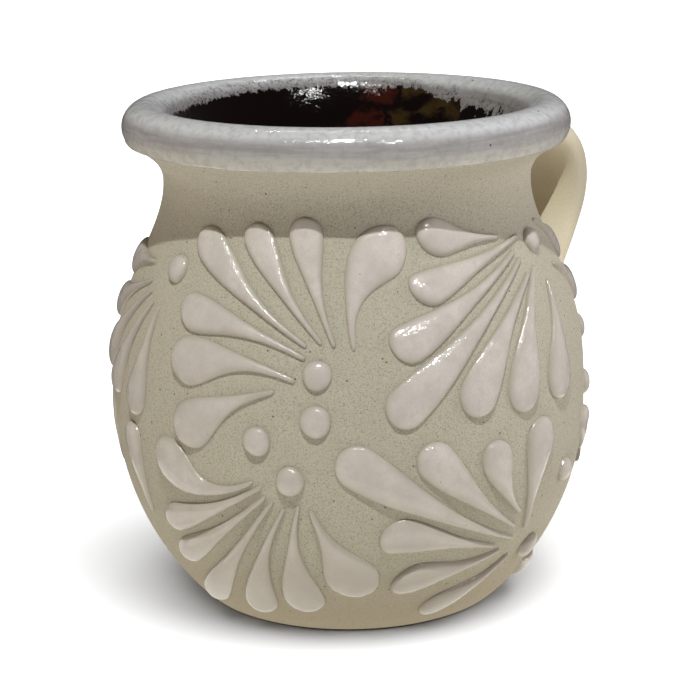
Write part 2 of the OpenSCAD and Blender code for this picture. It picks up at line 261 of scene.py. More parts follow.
def make_pot(finish):
    """The clay pot with its softened foot, rolled lip and open inside."""
    wall = [point for point in OUTER_LINE if point[1] > WALL_FROM]
    pot = turned([(0, 0)] + FOOT_EDGE + wall + LIP_LINE + INNER_LINE + FLOOR_LINE)
    return finish_piece(pot, "pot", finish, "pot_body")


def coat_outline(line, thicknesses):
    """A closed outline of a coat of glaze that lies on a line and goes a little into it."""
    r, z = (np.array(column) for column in zip(*line))
    way_r, way_z = np.gradient(r), np.gradient(z)
    length = np.hypot(way_r, way_z)
    open_r, open_z = way_z / length, -way_r / length
    out = [(a + b * t, c + d * t) for a, b, c, d, t in zip(r, open_r, z, open_z, thicknesses)]
    back = [(a - b * COAT_BACK, c - d * COAT_BACK) for a, b, c, d in zip(r, open_r, z, open_z)]
    return out + back[::-1]


def shape_lower_edge(glaze):
    """Raises the lower edge of the lip's coat in slight waves, and keeps it on the flare."""
    low_z = OUTER_LINE[-1][1]
    for vertex in glaze.data.vertices:
        radius = math.hypot(vertex.co.x, vertex.co.y) / MM
        height = vertex.co.z / MM
        if radius < LIP_CENTRE_R or height > low_z + EDGE_BAND:
            continue
        turn = math.atan2(vertex.co.x, -vertex.co.y)
        wave = sum(size * math.sin(count * turn + start) for size, count, start in EDGE_WAVES)
        share = (low_z + EDGE_BAND - height) / EDGE_BAND
        rise = (wave + EDGE_RISE) * share
        vertex.co.z += rise * MM
        wider = 1 + rise * (LIP_LEAN + LOW_LEAN * share) / radius
        vertex.co.x *= wider
        vertex.co.y *= wider


def make_lip_glaze(finish):
    """The pale coat over the lip, thin at its lower edge."""
    line = [OUTER_LINE[-1]] + LIP_LINE + INNER_LINE[:2]
    thicknesses = [COAT * min(1, THIN_EDGE + EDGE_GAIN * i) for i in range(len(line))]
    glaze = turned(coat_outline(line, thicknesses), closed=True)
    shape_lower_edge(glaze)
    return finish_piece(glaze, "lip_glaze", finish, "rim_glaze")


def make_inside_glaze(finish):
    """The dark coat over the whole inside, from under the lip to the middle of the floor."""
    line = INNER_LINE[1:] + FLOOR_LINE
    outline = coat_outline(line, [COAT] * len(line))
    middle = len(line) - 1
    outline[middle] = (0, outline[middle][1])
    outline[middle + 1] = (0, outline[middle + 1][1])
    glaze = turned(outline, closed=True)
    return finish_piece(glaze, "inside_glaze", finish, "liner_glaze")


# Handle

# Sides of the oval, rings along the bend, and share of the length left off at each joint
STRAP_SIDES = 32
STRAP_STEPS = 56
STRAP_START = 0.02


def strap_line():
    """The four control points of the strap's centre line, as radius and height."""
    top_r = float(np.interp(HANDLE_TOP_Z, WALL_Z, WALL_R)) - WALL / 2
    foot_r = float(np.interp(HANDLE_FOOT_Z, WALL_Z, WALL_R)) - WALL / 2
    bend_r = (BELLY_R + HANDLE_STANDOFF - (top_r + foot_r) / 8) * 4 / 3
    lean = HANDLE_THICKNESS / 4
    rise = HANDLE_TOP_Z - HANDLE_FOOT_Z
    return [Vector((top_r, HANDLE_TOP_Z)), Vector((bend_r - lean, HANDLE_TOP_Z + rise * UPPER_BEND)),
            Vector((bend_r + lean, HANDLE_FOOT_Z + rise * LOWER_BEND)), Vector((foot_r, HANDLE_FOOT_Z))]


def on_strap(controls, t):
    """Centre, heading in radians from level, and size of the strap at a share of its length."""
    a, b, c, d = controls
    centre = a * (1 - t) ** 3 + b * 3 * t * (1 - t) ** 2 + c * 3 * t * t * (1 - t) + d * t ** 3
    way = (b - a) * (1 - t) ** 2 + (c - b) * 2 * t * (1 - t) + (d - c) * t * t
    swell = JOINT_FLARE * max(0, 1 - min(t, 1 - t) / FLARE_REACH) ** 2
    return centre, math.atan2(way.y, way.x), 1 + swell * 2 / HANDLE_WIDTH


def make_handle(finish):
    """The strap: an oval ring drawn out along its bend, wider where it joins the pot."""
    controls = strap_line()
    shares = [STRAP_START + (1 - 2 * STRAP_START) * i / STRAP_STEPS for i in range(STRAP_STEPS + 1)]
    places = [on_strap(controls, t) for t in shares]
    centre, heading, size = places[0]
    deselect()
    bpy.ops.mesh.primitive_circle_add(vertices=STRAP_SIDES, radius=MM, fill_type="NGON")
    strap = bpy.context.object
    # The ring stands square to the heading in the plane that runs out of the pot's front
    for vertex in strap.data.vertices:
        side, out = vertex.co.x / MM, vertex.co.y / MM
        side = math.copysign(abs(side) ** OVAL_FILL, side) * HANDLE_WIDTH / 2 * size
        out = math.copysign(abs(out) ** OVAL_FILL, out) * HANDLE_THICKNESS / 2 * size
        radius = centre.x - math.sin(heading) * out
        height = centre.y + math.cos(heading) * out
        vertex.co = Vector((side, -radius, height)) * MM
    edit(strap)
    bpy.ops.mesh.select_all(action="SELECT")
    for (old, old_heading, old_size), (new, new_heading, new_size) in zip(places, places[1:]):
        step = (0, (old.x - new.x) * MM, (new.y - old.y) * MM)
        middle = (0, -new.x * MM, new.y * MM)
        bpy.ops.mesh.extrude_region_move(TRANSFORM_OT_translate={"value": step})
        bpy.ops.transform.rotate(value=new_heading - old_heading, orient_axis="X",
                                 orient_type="GLOBAL", center_override=middle)
        bpy.ops.transform.resize(value=[new_size / old_size] * 3, center_override=middle)
    bpy.ops.mesh.select_all(action="SELECT")
    bpy.ops.mesh.normals_make_consistent(inside=False)
    bpy.ops.object.mode_set(mode="OBJECT")
    strap.rotation_euler.z = math.radians(HANDLE_ANGLE)
    return finish_piece(strap, "strap", finish, "handle", OTHER_BEND)


# Petals

# Middles of the fans: angle round the pot, and run as a share of the run to the neck
FANS = {
    "front_upper_fan": (-7.3, 0.667), "front_lower_fan": (-13.7, 0.448),
    "right_upper_fan": (65.8, 0.881), "right_lower_fan": (57, 0.212),
    "left_upper_fan": (-53.4, 0.849), "left_lower_fan": (-60, 0.262),
    "back_left_upper_fan": (233, 0.667), "back_left_lower_fan": (226, 0.448),
    "back_upper_fan": (166, 0.61), "back_lower_fan": (166, 0.51), "under_handle_fan": (123.5, 0.44)}

# Petals: direction and share of reach of the tip, the same of the round end, the share of the
# full width, and the sideways bend as a share of the length
FRONT_UPPER = [
    (-158, 0.215, -154, 0.82, 1.04, -0.06), (-163, 0.105, -178, 0.77, 1.04, -0.1),
    (127, 0.09, 162, 0.77, 0.84, -0.06), (111, 0.137, 135.5, 0.89, 0.86, 0.03),
    (82, 0.142, 116, 0.76, 0.7, 0.04), (59, 0.15, 96.5, 0.73, 0.72, 0.04),
    (34, 0.2, 60, 0.74, 1.18, 0.17)]
FRONT_LOWER = [
    (-174, 0.185, 172, 0.75, 0.98, 0.22), (-166, 0.14, -156.5, 0.807, 0.72, 0.035),
    (-145, 0.15, -142, 0.873, 0.72, 0.02), (-130, 0.135, -124, 1.012, 0.78, -0.01),
    (-104, 0.145, -106, 0.887, 0.8, -0.06), (-74, 0.125, -89, 0.797, 0.93, -0.06),
    (-58, 0.165, -65, 0.72, 1.19, -0.02)]
RIGHT_UPPER = [
    (166, 0.31, 169.5, 0.76, 0.84, 0.01), (158, 0.155, -171, 0.9, 0.72, -0.015),
    (-178, 0.225, -160, 1.165, 0.77, 0), (-166, 0.205, -148.6, 1.37, 0.88, -0.025),
    (-144.5, 0.222, -137.3, 1.063, 0.92, -0.07), (-135, 0.15, -121.5, 0.89, 0.98, -0.1),
    (-100, 0.195, -102, 0.776, 1, -0.035), (-50, 0.19, -31, 0.72, 0.85, 0),
    (45, 0.13, -14, 0.62, 0.8, 0)]
RIGHT_LOWER = [
    (154, 0.24, 151.3, 1.405, 0.94, 0.03), (143, 0.295, 140.8, 1.087, 0.86, 0.04),
    (132, 0.345, 124.7, 0.816, 0.82, 0.1), (136, 0.205, 99, 0.725, 0.94, 0.08),
    (165, 0.345, 165, 1.025, 0.86, -0.02), (169, 0.29, -177, 0.825, 0.9, 0.01),
    (180, 0.19, -151, 0.62, 0.78, 0.02), (41, 0.6, 54, 0.77, 0.8, 0),
    (34, 0.57, 21, 0.86, 0.75, 0), (-60, 0.17, -44, 0.42, 0.8, 0)]
LEFT_UPPER = [
    (-99.5, 0.2, -103.5, 0.763, 0.85, 0.04), (-118, 0.21, -125, 0.837, 0.76, 0.02),
    (-136, 0.2, -140, 0.937, 0.8, 0), (-152, 0.2, -157, 0.84, 0.78, 0),
    (-178, 0.22, -175, 0.68, 0.82, 0)]
LEFT_LOWER = [
    (84, 0.1, 99, 0.55, 0.74, -0.06), (160, 0.585, 141, 0.98, 0.85, 0),
    (176, 0.86, 164, 1.07, 0.75, 0)]
NARROW_UP = [
    (152, 0.22, 135, 0.55, 0.75, 0), (120, 0.2, 113, 0.66, 0.8, 0), (90, 0.18, 90, 0.7, 0.85, 0),
    (60, 0.2, 67, 0.66, 0.8, 0), (28, 0.22, 45, 0.55, 0.75, 0)]
NARROW_DOWN = [(-a, b, -c, d, e, -f) for a, b, c, d, e, f in NARROW_UP]
PETALS = {
    "front_upper_fan": FRONT_UPPER, "front_lower_fan": FRONT_LOWER,
    "right_upper_fan": RIGHT_UPPER, "right_lower_fan": RIGHT_LOWER,
    "left_upper_fan": LEFT_UPPER, "left_lower_fan": LEFT_LOWER,
    "back_left_upper_fan": FRONT_UPPER, "back_left_lower_fan": FRONT_LOWER,
    "back_upper_fan": NARROW_UP, "back_lower_fan": NARROW_DOWN, "under_handle_fan": NARROW_DOWN}

# Dots: angle round the pot, run as a share of the run to the neck, and share of a petal's width
DOTS = {
    "front_dots": [(-7.3, 0.667, 0.62), (-13.7, 0.448, 0.63), (-7.7, 0.574, 0.67), (-21.3, 0.527, 0.62)],
    "right_dots": [(64.1, 0.886, 0.56), (55.4, 0.212, 0.6), (63.5, 0.38, 0.53),
                   (91, 0.508, 0.6), (96, 0.625, 0.62)],
    "left_dots": [(-52.4, 0.849, 0.62), (-98, 0.24, 0.6)],
    "back_dots": [(166, 0.61, 0.5), (166, 0.51, 0.5), (233, 0.667, 0.62), (226, 0.448, 0.63),
                  (123.5, 0.44, 0.5), (232.3, 0.574, 0.67), (218.7, 0.527, 0.62)]}

# The bar that every petal is bent from
BLANK_LENGTH = 30.0
BLANK_SIDES = 32
BLANK_STEPS = 30
NEAR_TIP = [0, 0.002, 0.006, 0.014, 0.026, 0.042]
NEAR_END = [0.9995, 1]
# Height on the bar above which a corner is on the petal's top
PETAL_TOP = 0.001


def blank_stations():
    """Shares of a petal's length at which the blank has its rings, closer at both ends."""
    turns = [math.pi / 2 * (i + 1) / (BLANK_STEPS + 1) for i in range(1, BLANK_STEPS)]
    return NEAR_TIP + [math.sin(turn) for turn in turns] + NEAR_END


def make_petal_blank():
    """A half-round bar of slip, of which every petal is a copy."""
    deselect()
    bpy.ops.mesh.primitive_circle_add(vertices=BLANK_SIDES, radius=MM, fill_type="NGON",
                                      rotation=(math.pi / 2, 0, math.pi / 2))
    blank = bpy.context.object
    fix_in_place(blank)
    edit(blank)
    bpy.ops.object.mode_set(mode="OBJECT")
    for vertex in blank.data.vertices:
        vertex.select = vertex.co.z < -PETAL_TOP * MM
    bpy.ops.object.mode_set(mode="EDIT")
    bpy.ops.transform.resize(value=(1, 1, 0), center_override=(0, 0, 0))
    bpy.ops.mesh.select_all(action="SELECT")
    shares = blank_stations()
    for here, there in zip(shares, shares[1:]):
        step = ((there - here) * BLANK_LENGTH * MM, 0, 0)
        bpy.ops.mesh.extrude_region_move(TRANSFORM_OT_translate={"value": step})
    bpy.ops.mesh.select_all(action="SELECT")
    bpy.ops.mesh.normals_make_consistent(inside=False)
    bpy.ops.object.mode_set(mode="OBJECT")
    return blank


def copy_of(piece):
    """A copy of a piece with its own mesh."""
    take_up(piece)
    bpy.ops.object.duplicate(linked=False)
    return bpy.context.object


def in_fan(degrees, share):
    """A place in a fan, across and along the wall from its middle."""
    turn = math.radians(degrees)
    return np.array([FAN_ACROSS * share * math.cos(turn), FAN_ALONG * share * math.sin(turn)])


def petal_form(s, half, length):
    """Half width and height of a petal at shares of its length."""
    round_start = 1 - half / length
    beyond = np.clip((s - round_start) / (1 - round_start), 0, 1)
    share = np.clip(s / round_start, 0, 1)
    swell = EVEN_SWELL * share + (1 - EVEN_SWELL) * (1 - np.cos(np.pi * share ** LATE_SWELL)) / 2
    tip_half = TIP_WIDTH / 2
    near_tip = np.clip(s * length / TIP_TAPER, 0, 1)
    near_tip = np.sqrt(1 - (1 - near_tip) ** 2)
    width = (tip_half + (half - tip_half) * swell) * near_tip * np.sqrt(1 - beyond ** 2)
    height = TIP_RELIEF + (PETAL_RELIEF - TIP_RELIEF) * np.sin(np.pi / 2 * s)
    height = height * np.sqrt(1 - beyond ** END_DROP) * near_tip ** TIP_RISE
    return width, height


def crest(aside, fall):
    """Share of the full height at a share of the half width."""
    return (1 - np.clip(aside, 0, 1) ** CREST_ROUND) ** fall


def corners_of(piece):
    """Places of a piece's corners in millimetres."""
    places = np.zeros(len(piece.data.vertices) * 3)
    piece.data.vertices.foreach_get("co", places)
    return places.reshape(-1, 3) / MM


def lay_down(piece, places, thickness):
    """Moves a piece's corners and notes how thick the slip is at each, which its finish reads."""
    piece.data.vertices.foreach_set("co", places.reshape(-1))
    note = piece.data.attributes.new("thickness", "FLOAT", "POINT")
    note.data.foreach_set("value", thickness.astype(np.float32))
    piece.data.update()
    return piece


def lay_petal(blank, row, angle, run):
    """A petal on the wall. The blank is bent along the petal's spine and laid on the pot's curve,
    which no bending tool does on a wall that curves both ways."""
    petal = copy_of(blank)
    tip_way, tip_share, end_way, end_share, width_share, bend = row
    tip, end = in_fan(tip_way, tip_share), in_fan(end_way, end_share)
    length = float(np.hypot(*(end - tip)))
    aside = np.array([tip[1] - end[1], end[0] - tip[0]])
    middle = (tip + end) / 2 + aside * 2 * bend
    places = corners_of(petal)
    s = np.clip(places[:, 0] / BLANK_LENGTH, 0, 1)
    across = places[:, 1]
    on_top = places[:, 2] > PETAL_TOP
    width, height = petal_form(s, PETAL_WIDTH * width_share / 2, length)
    # Slip trailed by hand is never quite even
    seed = tip_way * 0.13 + end_way * 0.07 + angle * 0.05
    uneven = 0.04 * np.sin(s * 9 + seed) + 0.02 * np.sin(s * 21 + 2 * seed) - 0.07
    spine = np.outer((1 - s) ** 2, tip) + np.outer(2 * s * (1 - s), middle) + np.outer(s * s, end)
    way = np.outer(1 - s, middle - tip) + np.outer(s, end - middle)
    way = way / np.hypot(way[:, 0], way[:, 1])[:, None]
    square = np.stack([-way[:, 1], way[:, 0]], axis=-1)
    flat = spine + square * (width * across)[:, None]
    dome = crest(np.abs(across), PETAL_FALL)
    lift = np.where(on_top, (SEAT + height * (1 + uneven)) * dome, -SINK)
    here = run + flat[:, 1]
    round_angle = np.degrees(flat[:, 0] / np.interp(here, WALL_RUN, WALL_R))
    thickness = np.where(on_top, height * dome / PETAL_RELIEF, 0)
    return lay_down(petal, over_wall(angle + round_angle, here, lift), thickness)


def close_up(piece):
    """Merges the corners that a petal's two ends draw together and turns every face outwards."""
    edit(piece)
    bpy.ops.mesh.select_all(action="SELECT")
    bpy.ops.mesh.remove_doubles(threshold=PETAL_MERGE * MM)
    bpy.ops.mesh.dissolve_degenerate(threshold=SLIVER * MM)
    bpy.ops.mesh.normals_make_consistent(inside=False)
    bpy.ops.object.mode_set(mode="OBJECT")


def joined(pieces):
    """Several laid pieces as one."""
    deselect()
    for piece in pieces:
        piece.select_set(True)
    bpy.context.view_layer.objects.active = pieces[0]
    bpy.ops.object.join()
    return bpy.context.object


def make_fans(finish):
    """All the fans of petals."""
    blank = make_petal_blank()
    for node, rows in PETALS.items():
        angle, share = FANS[node]
        petals = [lay_petal(blank, row, angle, NECK_RUN * share) for row in rows]
        for petal in petals:
            close_up(petal)
        finish_piece(joined(petals), node.replace("_fan", "_petals"), finish, node, OTHER_BEND)
    bpy.data.objects.remove(blank)


# Height at which the drop is cut flat, and height above which a corner is on the dot's top
DOT_CUT = 0.02
DOT_TOP = 0.03


def make_dot_blank():
    """A low round drop of slip, flat below."""
    deselect()
    bpy.ops.mesh.primitive_uv_sphere_add(segments=32, ring_count=20, radius=MM)
    blank = bpy.context.object
    edit(blank)
    bpy.ops.mesh.select_all(action="SELECT")
    bpy.ops.mesh.bisect(plane_co=(0, 0, DOT_CUT * MM), plane_no=(0, 0, 1),
                        use_fill=True, clear_inner=True)
    bpy.ops.object.mode_set(mode="OBJECT")
    return blank


def lay_dot(blank, row):
    """A dot on the wall."""
    dot = copy_of(blank)
    angle, share, width_share = row
    radius = PETAL_WIDTH * width_share / 2
    places = corners_of(dot)
    dome = crest(np.hypot(places[:, 0], places[:, 1]), DOT_FALL)
    on_top = places[:, 2] > DOT_TOP
    lift = np.where(on_top, (SEAT + DOT_RELIEF) * DOT_FILL * dome, -SINK)
    turn = np.arctan2(places[:, 1], places[:, 0])
    uneven = 1 + 0.025 * np.sin(2 * turn + angle) + 0.015 * np.sin(3 * turn + share * 20)
    here = NECK_RUN * share + radius * places[:, 1] * uneven
    round_angle = np.degrees(radius * places[:, 0] * uneven / np.interp(here, WALL_RUN, WALL_R))
    return lay_down(dot, over_wall(angle + round_angle, here, lift), np.where(on_top, dome, 0))


def make_dots(finish):
    """All the dots of slip."""
    blank = make_dot_blank()
    for node, rows in DOTS.items():
        dots = [lay_dot(blank, row) for row in rows]
        for dot in dots:
            close_up(dot)
        finish_piece(joined(dots), node.replace("_dots", "_drops"), finish, node, OTHER_BEND)
    bpy.data.objects.remove(blank)


# Finishes

def paint(red, green, blue):
    """A paint colour from its 0 to 255 values, as the shaders take it."""
    channels = []
    for value in (red, green, blue):
        share = value / 255
        channels.append(share / 12.92 if share <= 0.04045 else ((share + 0.055) / 1.055) ** 2.4)
    return (*channels, 1)


class Finish:
    """A material in the making."""

    def __init__(self, name, roughness, specular=0.5):
        self.material = bpy.data.materials.new(name)
        self.material.use_nodes = True
        self.tree = self.material.node_tree
        self.shader = self.tree.nodes["Principled BSDF"]
        self.shader.inputs["Roughness"].default_value = roughness
        self.shader.inputs["Specular IOR Level"].default_value = specular
        self.place = self.add("ShaderNodeTexCoord").outputs["Object"]

    def feed(self, socket, value):
        """Gives an input a fixed value or another node's output."""
        if isinstance(value, bpy.types.NodeSocket):
            self.tree.links.new(value, socket)
        else:
            socket.default_value = value

    def add(self, kind, values=(), **settings):
        """A node with its settings and what goes into its inputs."""
        node = self.tree.nodes.new(kind)
        for key, value in settings.items():
            setattr(node, key, value)
        for key, value in dict(values).items():
            self.feed(node.inputs[key], value)
        return node

    def stretched(self, scale):
        """Places scaled on each axis, for a pattern that runs one way."""
        return self.add("ShaderNodeMapping", {"Vector": self.place, "Scale": scale}).outputs[0]

    def noise(self, scale, detail=2, roughness=0.5, vector=None):
        """A soft random pattern between 0 and 1."""
        values = {"Vector": vector or self.place, "Scale": scale, "Detail": detail, "Roughness": roughness}
        return self.add("ShaderNodeTexNoise", values).outputs["Fac"]

    def between(self, value, low, high, out_low=0.0, out_high=1.0):
        """A soft step as a value goes from low to high."""
        values = {"Value": value, "From Min": low, "From Max": high, "To Min": out_low, "To Max": out_high}
        return self.add("ShaderNodeMapRange", values, interpolation_type="SMOOTHSTEP").outputs["Result"]

    def calc(self, operation, first, second=0.0):
        """One step of arithmetic."""
        return self.add("ShaderNodeMath", {0: first, 1: second}, operation=operation).outputs[0]

    def times(self, first, second):
        """The product of two values."""
        return self.calc("MULTIPLY", first, second)

    def swing(self, pattern, span):
        """A pattern between 0 and 1 as a shift to either side."""
        return self.times(self.calc("SUBTRACT", pattern, 0.5), span)

    def axis(self, letter):
        """One coordinate of a place."""
        return self.add("ShaderNodeSeparateXYZ", {"Vector": self.place}).outputs[letter]

    def reach(self):
        """Distance of a place from the pot's axis."""
        x, y = self.axis("X"), self.axis("Y")
        return self.calc("SQRT", self.calc("ADD", self.times(x, x), self.times(y, y)))

    def mixed(self, share, first, second):
        """Two colours mixed, all of the second where the share is 1."""
        node = self.add("ShaderNodeMix", {"Factor": share, 6: first, 7: second}, data_type="RGBA")
        return node.outputs[2]

    def specks(self, scale, size, kept):
        """Sparse round specks: the share of cells that have one is kept."""
        cells = self.add("ShaderNodeTexVoronoi", {"Vector": self.place, "Scale": scale}).outputs
        round_speck = self.between(cells["Distance"], size, size * 0.6)
        chance = self.add("ShaderNodeSeparateColor", {"Color": cells["Color"]}).outputs["Red"]
        return self.times(round_speck, self.between(chance, 1 - kept, 1 - kept + 0.01))

    def bump(self, height, distance_mm, strength=1.0, under=None):
        """Fine relief from a height, on top of the relief under it."""
        values = {"Height": height, "Distance": distance_mm * MM, "Strength": strength}
        if under is not None:
            values["Normal"] = under
        return self.add("ShaderNodeBump", values).outputs[0]

    def colour(self, socket):
        """Sets the colour of the surface."""
        self.feed(self.shader.inputs["Base Color"], socket)

    def normal(self, socket):
        """Sets the fine relief of the surface."""
        self.feed(self.shader.inputs["Normal"], socket)


def bare_clay():
    """Unglazed grey-beige clay: fine sandy grain, dark specks and small pits, and painted shade towards
    the foot.
    """
    clay = Finish("bare_clay", 0.86, 0.2)
    grain = clay.noise(3400, 2, 0.7)
    sand = clay.noise(1700, 2, 0.6)
    cloud = clay.noise(90, 3, 0.55)
    colour = clay.mixed(clay.between(grain, 0.3, 0.56), paint(151, 143, 122), paint(185, 180, 162))
    colour = clay.mixed(clay.between(sand, 0.35, 0.65, 0.0, 0.3), colour, paint(166, 158, 138))
    colour = clay.mixed(clay.between(cloud, 0.4, 0.7, 0.0, 0.2), colour, paint(180, 170, 150))
    # Painted shade: darker and warmer towards the foot, where less light comes up from the table
    low = clay.between(clay.axis("Z"), 0.022, 0.003, 0.0, 0.65)
    colour = clay.mixed(low, colour, paint(160, 144, 121))
    fine = clay.specks(1500, 0.24, 0.3)
    dark = clay.specks(430, 0.11, 0.42)
    colour = clay.mixed(clay.times(fine, 0.5), colour, paint(112, 100, 82))
    colour = clay.mixed(clay.times(dark, 0.8), colour, paint(84, 68, 56))
    clay.colour(colour)
    rough = clay.bump(grain, 0.12, 0.7)
    pits = clay.specks(900, 0.2, 0.2)
    clay.normal(clay.bump(clay.times(pits, -1.0), 0.1, 0.6, rough))
    return clay.material


def handle_clay():
    """The strap's clay: sponged smooth, a little yellower than the pot, with painted shade on its outer
    face.
    """
    clay = Finish("handle_clay", 0.75, 0.25)
    grain = clay.noise(2600, 2, 0.6)
    cloud = clay.noise(90, 3, 0.5)
    colour = clay.mixed(clay.between(grain, 0.3, 0.7), paint(204, 191, 160), paint(212, 201, 174))
    colour = clay.mixed(clay.between(cloud, 0.3, 0.7, 0.0, 0.4), colour, paint(203, 195, 173))
    # Painted shade: the outer face, which the side lamp lights strongly, is painted a little darker and
    # greyer
    outer = clay.between(clay.reach(), 0.055, 0.062)
    colour = clay.mixed(clay.times(outer, 0.8), colour, paint(166, 160, 141))
    clay.colour(colour)
    clay.normal(clay.bump(grain, 0.04, 0.4))
    return clay.material


def trailed_slip():
    """Raised off-white slip under a thin clear gloss, with a few pinholes and painted shade on the lower
    petals.
    """
    slip = Finish("trailed_slip", 0.5, 0.3)
    slip.shader.inputs["Coat Weight"].default_value = 0.9
    slip.shader.inputs["Coat Roughness"].default_value = 0.12
    cloud = slip.noise(160, 2, 0.5)
    grain = slip.noise(2600, 2, 0.6)
    mottle = slip.noise(480, 3, 0.6)
    colour = slip.mixed(slip.between(cloud, 0.3, 0.7), paint(192, 184, 174), paint(206, 198, 189))
    colour = slip.mixed(slip.between(mottle, 0.45, 0.7, 0.0, 0.4), colour, paint(182, 172, 163))
    # The clay shows through where the slip runs thin
    thickness = slip.add("ShaderNodeAttribute", attribute_name="thickness").outputs["Fac"]
    thin = slip.between(thickness, 0.9, 0.1, 0.0, 0.75)
    colour = slip.mixed(thin, colour, paint(164, 154, 136))
    colour = slip.mixed(slip.between(grain, 0.35, 0.65, 0.0, 0.3), colour, paint(181, 172, 160))
    # Painted shade: petals low on the belly are darker, as they lie in shade and mirror less light
    low = slip.between(slip.axis("Z"), 0.04, 0.012, 0.0, 0.7)
    colour = slip.mixed(low, colour, paint(170, 160, 146))
    holes = slip.specks(420, 0.08, 0.16)
    colour = slip.mixed(slip.times(holes, 0.6), colour, paint(140, 122, 102))
    slip.colour(colour)
    swim = slip.bump(slip.noise(900, 2, 0.5), 0.12, 0.6)
    slip.normal(slip.bump(slip.times(holes, -1.0), 0.08, 0.6, swim))
    # The clear glaze on top is livelier, which breaks its highlights into sparks
    lively = slip.bump(slip.noise(620, 2, 0.5), 0.24, 0.9)
    lively = slip.bump(slip.noise(1700, 2, 0.5), 0.06, 0.8, lively)
    slip.feed(slip.shader.inputs["Coat Normal"], lively)
    return slip.material


def pale_coat(coat, z, holes):
    """Grey glaze with level streaks, mottle and pinholes, lighter above with a painted highlight and below
    with a painted reflection of the white table.
    """
    streaks = coat.noise(1.0, 3, 0.6, coat.stretched((60, 60, 900)))
    mottle = coat.noise(700, 3, 0.65)
    pale = coat.mixed(coat.between(streaks, 0.35, 0.65), paint(143, 140, 137), paint(161, 158, 155))
    # Painted reflection of the white table on the lower part of the lip
    lower = coat.between(z, 0.0962, 0.0930)
    pale = coat.mixed(coat.times(lower, 0.85), pale, paint(198, 195, 183))
    # Painted highlight along the top of the lip
    upper = coat.between(z, 0.0970, 0.0990)
    pale = coat.mixed(coat.times(upper, 0.85), pale, paint(214, 214, 213))
    pale = coat.mixed(coat.between(mottle, 0.4, 0.7, 0.0, 0.3), pale, paint(128, 124, 122))
    return coat.mixed(coat.times(holes, 0.85), pale, paint(60, 52, 50))


def depth_below_change(coat, x, y, z):
    """How far a place lies below the ragged change from pale to dark, which is patchy at one side."""
    flow = coat.noise(1.0, 3, 0.7, coat.stretched((900, 900, 160)))
    blotch = coat.noise(420, 3, 0.6)
    towards = coat.calc("ADD", coat.times(x, 0.85), coat.times(y, 0.53))
    patchy = coat.between(towards, 0.0295, 0.0335)
    behind = coat.times(coat.between(y, 0.012, 0.03), 0.0009)
    line = coat.calc("SUBTRACT", coat.calc("ADD", behind, 0.0966), coat.times(patchy, 0.0024))
    patches = coat.swing(blotch, coat.times(patchy, 0.009))
    edge = coat.calc("ADD", line, coat.calc("ADD", coat.swing(flow, 0.0032), patches))
    return coat.calc("SUBTRACT", edge, z)


def stained(coat, pale, below, inside):
    """The pale glaze darkened and flecked with brown as it nears the change."""
    bleed = coat.times(coat.between(below, -0.0022, 0.0), inside)
    pale = coat.mixed(coat.times(bleed, 0.6), pale, paint(118, 110, 108))
    thin = coat.times(coat.between(below, -0.0034, -0.0004), inside)
    pale = coat.mixed(coat.times(thin, 0.5), pale, paint(140, 137, 136))
    brown = coat.times(coat.between(coat.noise(1500, 3, 0.7), 0.54, 0.6), thin)
    return coat.mixed(coat.times(brown, 0.7), pale, paint(74, 50, 44))


def dark_coat(coat, x):
    """Near-black brown, with painted reflections in red and olive across the right side, broken into
    streaks.
    """
    # Painted reflections: red and olive bands across the right of the inside, broken into streaks
    painted_reflection_streaks = coat.between(coat.noise(1.0, 3, 0.6, coat.stretched((160, 160, 260))), 0.4, 0.6)
    aside = coat.calc("ADD", x, coat.swing(coat.noise(110, 3, 0.6), 0.03))
    painted_red_reflection_band = coat.times(coat.between(aside, 0.0, 0.004), coat.between(aside, 0.0108, 0.009))
    painted_olive_reflection_band = coat.times(coat.between(aside, 0.011, 0.013), coat.between(aside, 0.024, 0.02))
    dark = coat.mixed(coat.times(painted_red_reflection_band, painted_reflection_streaks), paint(12, 2, 2), paint(60, 18, 9))
    olive = coat.times(painted_olive_reflection_band, painted_reflection_streaks)
    return coat.mixed(coat.times(olive, 0.8), dark, paint(66, 48, 20))


def glaze(name):
    """Both glazes: pale grey-white on the lip, near-black brown inside, with a ragged change."""
    coat = Finish(name, 0.09, 0.35)
    x, y, z = coat.axis("X"), coat.axis("Y"), coat.axis("Z")
    holes = coat.times(coat.specks(300, 0.08, 0.3), coat.between(x, -0.01, 0.012))
    below = depth_below_change(coat, x, y, z)
    in_mouth = coat.between(coat.reach(), 0.0375, 0.037)
    inside = coat.calc("MAXIMUM", in_mouth, coat.between(z, 0.088, 0.087))
    pale = stained(coat, pale_coat(coat, z, holes), below, inside)
    dark_share = coat.times(coat.between(below, -0.0001, 0.0003), inside)
    coat.colour(coat.mixed(dark_share, pale, dark_coat(coat, x)))
    ripple = coat.bump(coat.noise(1.0, 2, 0.5, coat.stretched((380, 380, 520))), 0.22, 0.7)
    orange_peel = coat.bump(coat.noise(1200, 3, 0.6), 0.1, 0.6, ripple)
    coat.normal(coat.bump(coat.times(holes, -1.0), 0.15, 0.8, orange_peel))
    return coat.material


def pale_floor():
    """A plain white sheet."""
    sheet = Finish("pale_floor", 0.95, 0.0)
    cloud = sheet.noise(3, 2, 0.5)
    sheet.colour(sheet.mixed(cloud, (0.2, 0.2, 0.2, 1), (0.205, 0.205, 0.205, 1)))
    return sheet.material


def glow(name, colour, strength):
    """Light that comes back up from a part of the white table."""
    sheet = Finish(name, 1.0, 0.0)
    sheet.shader.inputs["Base Color"].default_value = (0, 0, 0, 1)
    sheet.shader.inputs["Emission Color"].default_value = (*colour, 1)
    sheet.shader.inputs["Emission Strength"].default_value = strength
    return sheet.material


# Room. Lamps stand at an angle round the pot and a height in degrees, and are sized in metres

